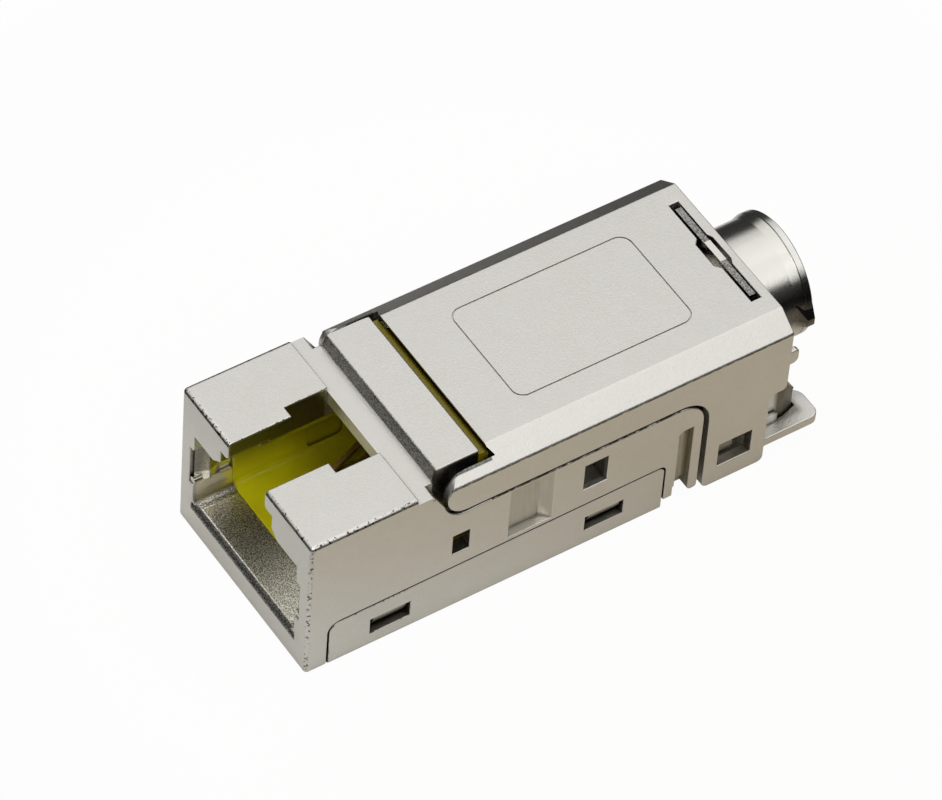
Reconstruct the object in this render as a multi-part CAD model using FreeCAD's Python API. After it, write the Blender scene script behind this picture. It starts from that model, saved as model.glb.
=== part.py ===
import FreeCAD, Part
import math
import os
from FreeCAD import Vector

# Field termination ethernet jack: X across, Y from the plug mouth to the cable, Z up, in millimetres.
# The pieces are drawn with the mouth face at y = 0 and are moved to the middle of the length when saved.

# Overall
half_width = 7.4
overall_length = 38.97
block_height = 11.95
block_length = 7.6
deck_height = 11.6
lid_height = 12.45
lid_end = 35.0
running_gap = 0.05
seam = 0.15
edge_round = 0.3
past = 1.0
bury = 0.1

# Plug mouth and latch slot
mouth_half = 5.9
mouth_floor = 2.5
mouth_top = 8.85
step_half = 2.95
step_top = 10.5
slot_half = 2.1
mouth_round = 0.15
mouth_floor_round = 0.8
step_round = 0.3
step_shoulder = (3.7, 9.45)
notch_half = 2.95
notch_start = 4.5
lip_half = 5.98
lip_drop = 0.45
lip_depth = 0.3

# Deck and hinge block
deck_end_outer = 8.66
deck_end_inner = 9.2
deck_inner_half = 6.35
bay_end = 10.35
bay_round = 1.1
hinge_block_half = 6.2
hinge_block_front = 9.5
hinge_block_end = 12.6
cheek_inner = 3.5

# Lid hinge
hinge_y = 11.2
hinge_z = 10.45
peg_radius = 0.55
peg_length = 1.2
arm_radius = 1.45
arm_inner = 6.65
arm_recess_gap = 0.22
arm_bay_gap = 1.15
arm_bay_depth = 0.4
lid_front_gap = 0.6
lid_relief_radius = 2.74

# Lid shell
ridge_half = 5.92
chamfer_bottom = 11.4
lid_plate = 1.0
lid_edge_round = 0.25
lid_rear_wall = 0.65
ear_front = 29.1
ear_rear = 33.75
ear_top = 6.2
skirt_lap = 0.5
ear_corner_front = 0.5
ear_corner_rear = 0.45
ear_step_round = 0.4
ear_lift = 0.08
ear_window = (30.15, 32.65, 1.6, 3.6)
lid_slot_half = 4.57
lid_slot_front = 33.6
lid_slot_rear = 34.3
slot_widening_half = 1.4
slot_widening_front = 33.25
slot_widening_rear = 34.5
slot_widening_chamfer = 0.4
tab_inner = 4.6
tab_outer = 7.25
tab_end = 38.1
tab_bottom = 1.15
tab_gap = 0.06
tab_thickness = 0.7
tab_inner_round = 0.9
tab_outer_round = 0.65
lug = (33.5, 35.35, 2.65)
lug_width = 0.2
presser_width = 0.8
presser_places = (-2.8, 0, 2.8)
throat_gap = 0.1
finger_rib = (8.0, 9.2)
finger_rib_width = 0.4
finger_rib_reach = 0.85

# Side walls of the housing
wall_end = 28.7
wall_corner = 1.9
wall_top = 8.85
chamber_half = 5.9
chamber_floor = 1.3
floor_half = 6.5
chamber_front = 13.25
inner_wall_top = 10.95
underside = 0.75
rear_underside = 0.5
leg_front = 28.0
leg_bottom = 0.6
heel_top = 1.6
foot_round = 0.25
groove_front = 26.9
heel_end = 26.8
groove_top = 6.7
groove_depth = 0.5
pocket = (14.45, 17.75, 4.25, 8.7)
pocket_depth = 0.65
pocket_ramp = 0.75
front_window = (10.35, 11.57, 5.12, 6.87)
rear_window = (19.9, 21.6, 5.5, 7.75)

# Saddle that holds the collar
saddle_half = 6.1
saddle_end_half = 5.75
saddle_taper_start = 35.84
saddle_end = 36.96
saddle_top = 3.45
cradle_top = 5.95
cradle_front = 32.6
cradle_end = 35.9
cradle_foot = (36.3, 4.2)
ear_catch = (29.7, 31.9, 1.5, 4.0)
ear_catch_reach = 0.45

# Bottom cover
cover_front = 1.65
cover_end = 26.05
cover_floor = 0.7
wing_thickness = 0.55
wing_top_front = 3.7
wing_top_end = 3.95
cover_seam = 0.12
catch_sunk = 0.1
catch_gap = 0.15
catch_side_gap = 0.25
cover_windows = ((4.62, 7.5, 1.13, 2.45), (20.25, 23.1, 1.38, 2.65))

# Contact carrier
carrier_front = 2.95
carrier_wall = 0.5
carrier_floor = 0.55
carrier_cavity_end = 11.6
carrier_end = 12.4
carrier_top = 9.05
carrier_roof = 0.3
carrier_fit = 0.02
carrier_step = 0.05
rib_front = 12.65
rib_end = 13.15
rib_top = 11.95
rib_half = 6.1
crest_end = 13.4
crest_step = 11.6
crest_bottom = 11.25
cavity_round = 0.35
comb_front = 8.2
comb_width = 0.5
comb_depth = 0.35
comb_top = 6.1
wall_panel = (8.3, 10.9, 2.8, 6.4)
wall_panel_depth = 0.2

# Contact springs
contact_count = 8
contact_pitch = 1.016
contact_width = 0.34
contact_thickness = 0.26
contact_tip_y = 8.6
contact_tip_z = 2.75
contact_bend_y = 12.15
contact_root_z = 5.4
contact_hook = 0.3
contact_bend = 0.35

# Circuit board
board_front = 13.35
board_thickness = 0.8
board_half = 5.75
board_bottom = 1.35
board_top = 10.95

# Terminal block, wire manager and what they hold
terminal_front = 14.3
terminal_end = 19.8
core_half = 5.75
core_bottom = 1.35
core_top = 11.1
manager_front = 20.0
manager_end = 26.2
terminal_columns = (-4.3, -1.5, 1.5, 4.3)
terminal_rows = (4.0, 8.8)
blade_thickness = 0.3
blade_height = 1.8
blade_end = 22.4
tail_height = 0.5
fork_width = 0.3
fork_depth = 1.7
fork_lead = 0.4
fork_lead_rise = 0.3
blade_shoulder = 0.6
tail_room = 0.3
waist = (15.9, 18.6, 3.35, 9.6)
waist_depth = 0.5
channel_half = 0.55
blade_fit = 0.03
blade_room = 0.3
cross_thickness = 0.4
cross_front = 20.15
cross_end = 25.2
cross_fit = 0.05

# Cable collar
collar_z = 7.68
bore_radius = 3.1
ring_seat_gap = 0.32
collar_wall = 0.63
barrel_wall = 0.3
collar_rim_flare = 0.16
collar_rim_length = 0.53
collar_flare_length = 0.65
rim_chamfer = 0.08
rim_groove = 0.05
shoulder_step = 0.26
shoulder_drop = 0.58
shoulder_lean = (0.9, 1.95)
barrel_front = 31.0
mouth_bevel = 0.75
mouth_bevel_length = 1.2
flange_front = 33.78
flange_thickness = 0.44
flange_half = 4.12
flange_bottom = 1.65
flange_top = 12.37
tongue_half = 0.9
tongue_top = 12.43
ring_fit = 0.03
ring_thickness = 0.2
ring_length = 5.2
ring_bow = 0.07
ring_slots = 8
ring_slot_width = 0.7
ring_slot_front = 1.2

# Ground springs
spring_pocket = (4.2, 7.45)
spring_pocket_depth = 0.45
spring_sheet = 0.14
spring_bulge = 0.08
spring_edge_gap = 0.06
spring_foot = 2.1
spring_crest = 1.2
spring_tip = 0.3
curl_front = 0.1
curl_radius = 0.25
curl_length = 0.6

# Lid panel
panel_half = 4.05
panel_front = 16.8
panel_end = 29.95
panel_round = 0.9
panel_line = 0.12
panel_line_depth = 0.06

# Worked out from the values above
ring_seat_radius = bore_radius + ring_seat_gap
barrel_radius = ring_seat_radius + barrel_wall
collar_radius = ring_seat_radius + collar_wall
collar_rim_radius = collar_radius + collar_rim_flare
shoulder_reach = collar_rim_radius + shoulder_step
carrier_outer = mouth_half + carrier_wall
carrier_side = carrier_outer + carrier_fit
carrier_base = mouth_floor + carrier_step - carrier_floor
carrier_ceiling = carrier_top + carrier_roof + carrier_fit
skirt_foot = hinge_z - arm_radius
wing_inner = half_width - wing_thickness
row_middle = sum(terminal_rows) / 2
ring_end = barrel_front + ring_length


# Drawing helpers

def outline(corners, place):
    starts, ends, arcs = [], [], []
    count = len(corners)
    for index, corner in enumerate(corners):
        here = Vector(corner[0], corner[1], 0)
        radius = corner[2] if len(corner) == 3 else 0
        if radius == 0:
            starts.append(here)
            ends.append(here)
            arcs.append(None)
            continue
        before = Vector(corners[index - 1][0], corners[index - 1][1], 0)
        after = Vector(corners[(index + 1) % count][0], corners[(index + 1) % count][1], 0)
        back = (before - here).normalize()
        ahead = (after - here).normalize()
        half_angle = back.getAngle(ahead) / 2
        run = radius / math.tan(half_angle)
        inward = (back + ahead).normalize()
        starts.append(here + back * run)
        ends.append(here + ahead * run)
        arcs.append(here + inward * (radius / math.sin(half_angle) - radius))
    edges = []
    for index in range(count):
        if arcs[index] is not None:
            edges.append(Part.Arc(place(starts[index]), place(arcs[index]), place(ends[index])).toShape())
        following = starts[(index + 1) % count]
        if ends[index].distanceToPoint(following) > 1e-6:
            edges.append(Part.LineSegment(place(ends[index]), place(following)).toShape())
    return Part.Face(Part.Wire(edges))


def side(corners, x0, x1):
    return outline(corners, lambda p: Vector(x0, p.x, p.y)).extrude(Vector(x1 - x0, 0, 0))


def front(corners, y0, y1):
    return outline(corners, lambda p: Vector(p.x, y0, p.y)).extrude(Vector(0, y1 - y0, 0))


def plan(corners, z0, z1):
    return outline(corners, lambda p: Vector(p.x, p.y, z0)).extrude(Vector(0, 0, z1 - z0))


def box(x0, x1, y0, y1, z0, z1):
    return Part.makeBox(x1 - x0, y1 - y0, z1 - z0, Vector(x0, y0, z0))


def across(radius, y, z, x0, x1):
    return Part.makeCylinder(radius, x1 - x0, Vector(x0, y, z), Vector(1, 0, 0))


def along(radius, x, z, y0, y1):
    return Part.makeCylinder(radius, y1 - y0, Vector(x, y0, z), Vector(0, 1, 0))


def both_sides(shape):
    return [shape, shape.mirror(Vector(0, 0, 0), Vector(1, 0, 0))]


def join(shapes):
    return shapes[0].fuse(shapes[1:]).removeSplitter() if len(shapes) > 1 else shapes[0]


def ribbon(points, thickness, bend):
    # closed outline of a strip of even thickness that follows a bent centre line
    left, right = [], []
    last = len(points) - 1
    for index, (a, b) in enumerate(points):
        here = Vector(a, b, 0)
        if index > 0:
            arrive = (here - Vector(*points[index - 1], 0)).normalize()
        if index < last:
            leave = (Vector(*points[index + 1], 0) - here).normalize()
        if index == 0:
            arrive = leave
        if index == last:
            leave = arrive
        turn = arrive.cross(leave).z
        normal = Vector(-arrive.y - leave.y, arrive.x + leave.x, 0).normalize()
        reach = thickness / 2 / normal.dot(Vector(-arrive.y, arrive.x, 0))
        ends = index in (0, last)
        outer, inner = bend + thickness / 2, bend - thickness / 2
        left_round = 0 if ends else (inner if turn > 0 else outer)
        right_round = 0 if ends else (outer if turn > 0 else inner)
        left.append((here.x + normal.x * reach, here.y + normal.y * reach, left_round))
        right.append((here.x - normal.x * reach, here.y - normal.y * reach, right_round))
    return left + right[::-1]


def blade_slots(y0, y1):
    half_x = blade_thickness / 2 + blade_fit
    half_z = blade_height / 2 + blade_fit
    return [box(x - half_x, x + half_x, y0, y1, z - half_z, z + half_z) for x, z in terminal_positions()]


def contact_positions():
    middle = (contact_count - 1) / 2
    return [(index - middle) * contact_pitch for index in range(contact_count)]


def terminal_positions():
    return [(x, z) for z in terminal_rows for x in terminal_columns]


# Main housing

def front_block():
    block = front([(-half_width, 0, edge_round), (half_width, 0, edge_round),
                   (half_width, block_height, edge_round), (-half_width, block_height, edge_round)],
                  0, block_length)
    upright = [edge for edge in block.Edges
               if abs(edge.BoundBox.YMax) < 1e-6 and edge.BoundBox.ZLength > 5]
    return block.makeFillet(edge_round, upright)


def hinge_block():
    roof = side([(block_length, step_top), (block_length, deck_height), (deck_end_inner, deck_height),
                 (hinge_block_front, lid_height, 0.15), (hinge_block_end, lid_height, 0.1),
                 (hinge_block_end, step_top)], -hinge_block_half, hinge_block_half)
    cheek = box(cheek_inner, hinge_block_half, deck_end_inner, hinge_block_end, carrier_ceiling, deck_height)
    socket_inner = arm_inner - peg_length - running_gap
    socket = across(peg_radius + running_gap, hinge_y, hinge_z, socket_inner, half_width)
    return join([roof] + both_sides(cheek)).cut(both_sides(socket))


def deck():
    narrow = box(-deck_inner_half, deck_inner_half, block_length, deck_end_inner, carrier_ceiling,
                 deck_height)
    wide = box(-half_width, half_width, block_length, deck_end_outer, carrier_ceiling, deck_height)
    return join([narrow, wide])


def side_wall():
    # seen from the side, with the curved bay in front of the lid's arm
    bay = [(block_length, deck_height), (deck_end_outer, deck_height), (bay_end, wall_top, bay_round)]
    foot = [(wall_end, wall_top, wall_corner), (wall_end, leg_bottom, foot_round),
            (leg_front, leg_bottom, foot_round), (leg_front, heel_top), (heel_end, heel_top),
            (heel_end, underside, foot_round)]
    skin = side(bay + foot + [(block_length, underside)], chamber_half, half_width)
    rabbet = box(chamber_half, arm_inner - running_gap, chamber_front, wall_end - wall_corner,
                 underside, inner_wall_top)
    return join([skin, rabbet])


def saddle():
    base = plan([(-saddle_half, leg_front), (saddle_half, leg_front), (saddle_half, saddle_taper_start),
                 (saddle_end_half, saddle_end, 0.3), (-saddle_end_half, saddle_end, 0.3),
                 (-saddle_half, saddle_taper_start)], rear_underside, saddle_top)
    cheeks = side([(leg_front, saddle_top), (leg_front, cradle_top), (cradle_end, cradle_top),
                   cradle_foot, (saddle_end, saddle_top)], -saddle_half, saddle_half)
    taper = plan([(saddle_half, saddle_taper_start), (saddle_half + past, saddle_taper_start),
                  (saddle_half + past, saddle_end), (saddle_end_half, saddle_end)], saddle_top, cradle_top)
    hollow = box(-chamber_half, chamber_half, leg_front - past, cradle_front, chamber_floor,
                 cradle_top + past)
    seat = along(collar_radius + carrier_fit, 0, collar_z, cradle_front, saddle_end + past)
    flange_slot = box(-flange_half - running_gap, flange_half + running_gap, flange_front - running_gap,
                      flange_front + flange_thickness + running_gap, flange_bottom - running_gap,
                      cradle_top + past)
    return join([base, cheeks.cut(both_sides(taper))]).cut([hollow, seat, flange_slot])


def ear_catches():
    y0, y1, z0, z1 = ear_catch
    outer = saddle_half + ear_catch_reach
    catch = plan([(saddle_half - bury, y0), (outer, y0 + 0.2, 0.1), (outer, y1, 0.1),
                  (saddle_half - bury, y1)], z0, z1)
    slope = side([(y0 - 1, z0 - 1), (y1 + 1, z0 - 1), (y1 + 1, z0 + 1.1), (y1 - 0.5, z0)],
                 saddle_half, outer + 1)
    return both_sides(catch.cut(slope))


def floor():
    front_sill = box(-floor_half, floor_half, 0.5, carrier_front, underside, mouth_floor)
    under_carrier = box(-floor_half, floor_half, carrier_front, chamber_front, underside,
                        carrier_base - carrier_fit)
    chamber = box(-floor_half, floor_half, chamber_front, leg_front + 0.5, underside, chamber_floor)
    heel = box(chamber_half, half_width, cover_end + cover_seam, heel_end, underside, heel_top)
    return join([front_sill, under_carrier, chamber] + both_sides(heel))


def mouth_cuts():
    above = block_height + past
    shoulder_x, shoulder_z = step_shoulder
    right = [(mouth_half, mouth_floor, mouth_floor_round), (mouth_half, mouth_top, mouth_round),
             (shoulder_x, mouth_top, 0), (step_half, shoulder_z, 0), (step_half, step_top, mouth_round),
             (slot_half, step_top, step_round), (slot_half, above, 0)]
    left = [(-x, z, radius) for x, z, radius in reversed(right)]
    mouth = front(right + left, -past, carrier_front)
    slot = box(-slot_half, slot_half, 0, notch_start, mouth_top, above)
    step = box(-step_half, step_half, 0, hinge_block_end + past, mouth_floor, step_top)
    notch = box(-notch_half, notch_half, notch_start, block_length, mouth_top, above)
    lip_slope = lip_drop / lip_depth
    lip = side([(-past, mouth_floor - lip_slope * (past + lip_depth)), (lip_depth, mouth_floor),
                (lip_depth, mouth_floor + seam), (-past, mouth_floor + seam)], -lip_half, lip_half)
    pocket_low, pocket_high = spring_pocket
    spring_bed = box(mouth_half - 0.5, mouth_half + spring_pocket_depth, -past, carrier_front,
                     pocket_low, pocket_high)
    return [mouth, slot, step, notch, lip] + both_sides(spring_bed)


def carrier_cut():
    return box(-carrier_side, carrier_side, carrier_front, chamber_front, carrier_base - carrier_fit,
               carrier_ceiling)


def wall_window(window, inner):
    y0, y1, z0, z1 = window
    return box(inner, half_width + past, y0, y1, z0, z1)


def wall_cuts():
    # windows, pocket and groove of the side walls
    y0, y1, z0, z1 = pocket
    bed = half_width - pocket_depth
    ramp_past = past * pocket_ramp / pocket_depth
    ramp = plan([(bed, y0), (half_width + past, y0), (half_width + past, y1 + ramp_past),
                 (bed, y1 - pocket_ramp)], z0, z1)
    groove = side([(groove_front, underside), (groove_front, groove_top, 0.5), (leg_front, groove_top),
                   (leg_front, underside)], half_width - groove_depth, half_width + past)
    cuts = []
    windows = [wall_window(front_window, mouth_half), wall_window(rear_window, chamber_half - past)]
    for cut in windows + [ramp, groove]:
        cuts += both_sides(cut)
    return cuts


def arm_bays():
    shelf = arm_inner + arm_bay_depth
    wide = across(arm_radius + arm_bay_gap, hinge_y, hinge_z, deck_inner_half, shelf)
    close = across(arm_radius + arm_recess_gap, hinge_y, hinge_z, shelf, half_width + past)
    behind = box(deck_inner_half, shelf, hinge_y, chamber_front, wall_top, lid_height)
    keep_below = box(deck_inner_half, half_width + past, 0, wall_end, 0, wall_top)
    keep_ahead = box(deck_inner_half, half_width + past, 0, deck_end_outer, 0, lid_height)
    shape = join([wide, close]).cut([keep_ahead]).cut([keep_below.cut(close)])
    return both_sides(shape) + both_sides(behind)


def wing_outline(grow):
    return [(cover_front - grow, underside - 1), (cover_front - grow, wing_top_front + grow, 0.7 + grow),
            (cover_end + grow, wing_top_end + grow, 0.4 + grow), (cover_end + grow, underside - 1)]


def wing_recesses():
    wing = side(wing_outline(cover_seam), wing_inner - running_gap, half_width + past)
    under = box(-half_width - past, half_width + past, cover_front - cover_seam, cover_end + cover_seam,
                -past, underside)
    return both_sides(wing) + [under]


def wing_catches():
    root = wing_inner - running_gap - bury
    face = half_width - catch_sunk
    catches = []
    for y0, y1, z0, z1 in cover_windows:
        wedge = front([(root, z0 + catch_gap), (wing_inner, z0 + catch_gap), (face, z1 - 2 * catch_gap),
                       (face, z1 - catch_gap / 2), (root, z1 - catch_gap / 2)], y0 + catch_side_gap,
                      y1 - catch_side_gap)
        catches += both_sides(wedge)
    return catches


def main_housing():
    body = join([front_block(), deck(), floor(), saddle()] + both_sides(side_wall()))
    body = body.cut(mouth_cuts() + [carrier_cut()]).cut(wing_recesses()).cut(wall_cuts()).cut(arm_bays())
    hinge = hinge_block().cut(mouth_cuts())
    return join([body, hinge] + ear_catches() + wing_catches())


# Bottom cover

def bottom_cover():
    floor_plate = front([(-half_width, 0, 0.25), (half_width, 0, 0.25), (half_width, cover_floor),
                         (-half_width, cover_floor)], cover_front, cover_end)
    corners = [(cover_front, cover_floor), (cover_front, wing_top_front, 0.7), (cover_end, wing_top_end, 0.4),
               (cover_end, cover_floor)]
    wing = side(corners, wing_inner, half_width)
    windows = []
    for window in cover_windows:
        windows += both_sides(wall_window(window, half_width - past))
    return join([floor_plate] + both_sides(wing)).cut(windows)


# Hinged lid

def lid_section(y0, y1):
    shoulder = chamfer_bottom - 0.35
    inside = lid_height - lid_plate
    right = [(half_width, skirt_foot, 0), (half_width, chamfer_bottom, lid_edge_round),
             (ridge_half, lid_height, lid_edge_round)]
    left = [(-x, z, radius) for x, z, radius in reversed(right)]
    hollow_left = [(-arm_inner, skirt_foot), (-arm_inner, shoulder), (-arm_inner + 0.6, inside)]
    hollow_right = [(-x, z) for x, z in reversed(hollow_left)]
    return front(right + left + hollow_left + hollow_right, y0, y1)


def panel_groove():
    def field(inset):
        left, right = -panel_half + inset, panel_half - inset
        front_edge, rear_edge = panel_front + inset, panel_end - inset
        radius = panel_round - inset
        return plan([(left, front_edge, radius), (right, front_edge, radius), (right, rear_edge, radius),
                     (left, rear_edge, radius)], lid_height - panel_line_depth, lid_height + past)
    return field(0).cut(field(panel_line))


def hinged_lid():
    nose = hinge_y - arm_radius
    shell = lid_section(nose, lid_end)
    arm_slope = 0.4
    wide = half_width + past
    nose_cut = side([(nose - past, skirt_foot - past), (nose - past, lid_height + past),
                     (hinge_y + past, lid_height + past), (hinge_y + past, hinge_z), (hinge_y, hinge_z),
                     (hinge_y, skirt_foot - past)], -wide, wide)
    rounded = across(arm_radius, hinge_y, hinge_z, -wide, wide)
    keep = side([(hinge_y, hinge_z), (hinge_y, hinge_z + arm_radius),
                 (hinge_y + past, hinge_z + arm_radius + past * arm_slope), (hinge_y + past, hinge_z)],
                -wide, wide)
    nose_cut = nose_cut.cut([rounded, keep])
    front_opening = box(-arm_inner, arm_inner, 0, hinge_block_end + lid_front_gap, 0, lid_height + past)
    relief = across(lid_relief_radius, hinge_y, hinge_z, -arm_inner, arm_inner)
    shell = shell.cut([nose_cut, front_opening, relief])

    ear_outline = [(ear_front, ear_lift, ear_corner_front), (ear_rear, ear_lift, ear_corner_rear),
                   (ear_rear, ear_top), (lid_end, ear_top, ear_step_round), (lid_end, skirt_foot + skirt_lap),
                   (wall_end - wall_corner, skirt_foot + skirt_lap), (wall_end - wall_corner, skirt_foot),
                   (ear_front, skirt_foot, wall_corner + ear_front - wall_end)]
    ear = side(ear_outline, arm_inner, half_width)
    ear = ear.cut([wall_window(ear_window, half_width - past)])

    beside = saddle_half + tab_gap
    behind = saddle_end + tab_gap
    root = ear_rear - edge_round
    tab = plan([(beside, root), (tab_outer, root), (tab_outer, tab_end, tab_outer_round),
                (tab_inner, tab_end, tab_inner_round), (tab_inner, behind),
                (saddle_end_half + tab_gap, behind),
                (beside, saddle_taper_start)], tab_bottom, tab_bottom + tab_thickness)
    lug_front, lug_end, lug_top = lug
    lugs = both_sides(box(beside, beside + lug_width, lug_front, lug_end, tab_bottom, lug_top))

    rear_wall = box(-arm_inner, arm_inner, lid_end - lid_rear_wall, lid_end, ear_top,
                    lid_height - lid_plate / 2)
    throat_radius = collar_radius + throat_gap
    throat = along(throat_radius, 0, collar_z, lid_end - past, lid_end + past)
    below = box(-throat_radius, throat_radius, lid_end - past, lid_end + past, 0, collar_z)
    pegs = both_sides(across(peg_radius, hinge_y, hinge_z, arm_inner - peg_length, arm_inner + bury))
    pressers = [box(x - presser_width / 2, x + presser_width / 2, manager_front + 1, manager_end - 1,
                    core_top + running_gap, lid_height - lid_plate + bury) for x in presser_places]
    y_tip = lid_end + finger_rib_reach
    rib_outer = half_width - edge_round
    rib_low, rib_high = finger_rib
    finger_ribs = both_sides(side([(lid_end - bury, rib_low), (y_tip, rib_low, 0.45),
                                  (y_tip, rib_high, 0.3), (lid_end - bury, rib_high)],
                                 rib_outer - finger_rib_width, rib_outer))

    slot = box(-lid_slot_half, lid_slot_half, lid_slot_front, lid_slot_rear, core_top, lid_height + past)
    narrow = slot_widening_half - slot_widening_chamfer
    widening = plan([(-slot_widening_half, lid_slot_front), (-narrow, slot_widening_front),
                     (narrow, slot_widening_front), (slot_widening_half, lid_slot_front),
                     (slot_widening_half, lid_slot_rear), (narrow, slot_widening_rear),
                     (-narrow, slot_widening_rear), (-slot_widening_half, lid_slot_rear)],
                    core_top, lid_height + past)
    body = join([shell, rear_wall] + both_sides(ear) + both_sides(tab) + lugs + pegs + pressers)
    body = body.cut([throat, below, slot, widening, panel_groove()])
    return join([body] + finger_ribs)


# Contact carrier

def contact_carrier():
    floor_top = carrier_base + carrier_floor
    roof = carrier_top + carrier_roof
    shell = box(-carrier_outer, carrier_outer, carrier_front, carrier_end, carrier_base, roof)
    rib = box(-rib_half, rib_half, carrier_end - bury, rib_end, carrier_base, roof)
    crest = side([(rib_front, carrier_top), (rib_front, rib_top), (rib_end, rib_top), (rib_end, crest_step),
                  (crest_end, crest_step), (crest_end, crest_bottom), (rib_end, crest_bottom),
                  (rib_end, carrier_top)], -rib_half, rib_half)
    cavity = front([(-mouth_half, floor_top, cavity_round), (mouth_half, floor_top, cavity_round),
                    (mouth_half, carrier_top), (-mouth_half, carrier_top)],
                   carrier_front - past, carrier_cavity_end)
    opening = box(-step_half, step_half, carrier_front - past, carrier_cavity_end, carrier_top - past,
                  roof + past)
    combs = [box(x - comb_width / 2, x + comb_width / 2, comb_front, carrier_cavity_end,
                 floor_top - comb_depth, floor_top + bury) for x in contact_positions()]
    gates = [box(x - comb_width / 2, x + comb_width / 2, carrier_cavity_end - bury, rib_end + past,
                 floor_top - comb_depth, comb_top) for x in contact_positions()]
    y0, y1, z0, z1 = wall_panel
    panel = side([(y0, z0, 0.4), (y1, z0, 0.4), (y1, z1, 0.4), (y0, z1, 0.4)],
                 mouth_half - bury, mouth_half + wall_panel_depth)
    window = wall_window(front_window, mouth_half - past)
    return join([shell, rib, crest]).cut([cavity, opening] + combs + gates + both_sides(panel)
                                         + both_sides(window))


# Contact springs

def contact_spring(x):
    path = [(contact_tip_y - contact_hook, contact_tip_z - contact_hook), (contact_tip_y, contact_tip_z),
            (contact_bend_y, contact_root_z), (board_front + board_thickness + bury, contact_root_z)]
    return side(ribbon(path, contact_thickness, contact_bend), x - contact_width / 2, x + contact_width / 2)


# Ground springs

def ground_spring(sign):
    half = spring_sheet / 2
    reach = mouth_half + spring_pocket_depth - running_gap
    back = reach - half
    low, high = spring_pocket
    path = [(back, carrier_front - running_gap), (back, spring_foot),
            (mouth_half - spring_bulge + half, spring_crest), (back, spring_tip)]
    sheet = plan(ribbon(path, spring_sheet, half), low + spring_edge_gap, high - spring_edge_gap)
    curl = along(curl_radius, reach - curl_radius, low + curl_radius + running_gap, curl_front,
                 curl_front + curl_length)
    spring = join([sheet, curl])
    return spring if sign > 0 else spring.mirror(Vector(0, 0, 0), Vector(1, 0, 0))


# Circuit board

def circuit_board():
    board = box(-board_half, board_half, board_front, board_front + board_thickness, board_bottom, board_top)
    far = board_front + board_thickness + past
    half_x = contact_width / 2 + blade_fit
    half_z = contact_thickness / 2 + blade_fit
    holes = [box(x - half_x, x + half_x, board_front - past, far, contact_root_z - half_z,
                 contact_root_z + half_z) for x in contact_positions()]
    half_x = blade_thickness / 2 + blade_fit
    half_z = tail_height / 2 + blade_fit
    holes += [box(x - half_x, x + half_x, board_front - past, far, z - half_z, z + half_z)
              for x, z in terminal_positions()]
    return board.cut(holes)


# Terminal block and piercing contacts

def terminal_block():
    block = box(-core_half, core_half, terminal_front, terminal_end, core_bottom, core_top)
    slots = blade_slots(terminal_front - past, terminal_end + past)
    tails = [box(x - contact_width, x + contact_width, terminal_front - past, terminal_front + tail_room,
                 contact_root_z - contact_thickness, contact_root_z + contact_thickness)
             for x in contact_positions()]
    front_edge, rear_edge, low, high = waist
    waists = both_sides(box(core_half - waist_depth, core_half + past, front_edge, rear_edge, low, high))
    return block.cut(slots + tails + waists)


def piercing_contact(x, z):
    half = blade_height / 2
    tail = tail_height / 2
    fork = fork_width / 2
    shoulder = terminal_front + blade_shoulder
    lead = blade_end - fork_lead
    upper = [(board_front - bury, tail), (shoulder, tail), (shoulder, half), (blade_end, half),
             (blade_end, fork + fork_lead_rise), (lead, fork), (blade_end - fork_depth, fork)]
    corners = [(y, z + rise) for y, rise in upper] + [(y, z - rise) for y, rise in reversed(upper)]
    return side(corners, x - blade_thickness / 2, x + blade_thickness / 2)


# Wire manager and shield cross

def wire_manager():
    block = plan([(-core_half, manager_front), (core_half, manager_front), (core_half, manager_end, 0.5),
                  (-core_half, manager_end, 0.5)], core_bottom, core_top)
    channels = []
    for x, z in terminal_positions():
        upper = z > row_middle
        low = z - channel_half if upper else core_bottom - past
        high = core_top + past if upper else z + channel_half
        channels.append(box(x - channel_half, x + channel_half, blade_end - fork_depth, manager_end + past,
                            low, high))
    blades = blade_slots(manager_front - past, blade_end + blade_room)
    half = cross_thickness / 2 + cross_fit
    upright = box(-half, half, manager_front - past, cross_end + cross_fit, core_bottom - past,
                  core_top + past)
    level = box(-core_half - past, core_half + past, manager_front - past, cross_end + cross_fit,
                row_middle - half, row_middle + half)
    return block.cut(channels + blades + [upright, level])


def shield_cross():
    half = cross_thickness / 2
    reach = core_half - cross_fit
    upright = box(-half, half, cross_front, cross_end, core_bottom + cross_fit, core_top - cross_fit)
    level = box(-reach, reach, cross_front, cross_end, row_middle - half, row_middle + half)
    return join([upright, level])


# Cable collar and shield ring

def turned(corners):
    face = outline(corners, lambda p: Vector(p.y, p.x, collar_z))
    return face.revolve(Vector(0, 0, collar_z), Vector(0, 1, 0), 360)


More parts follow.
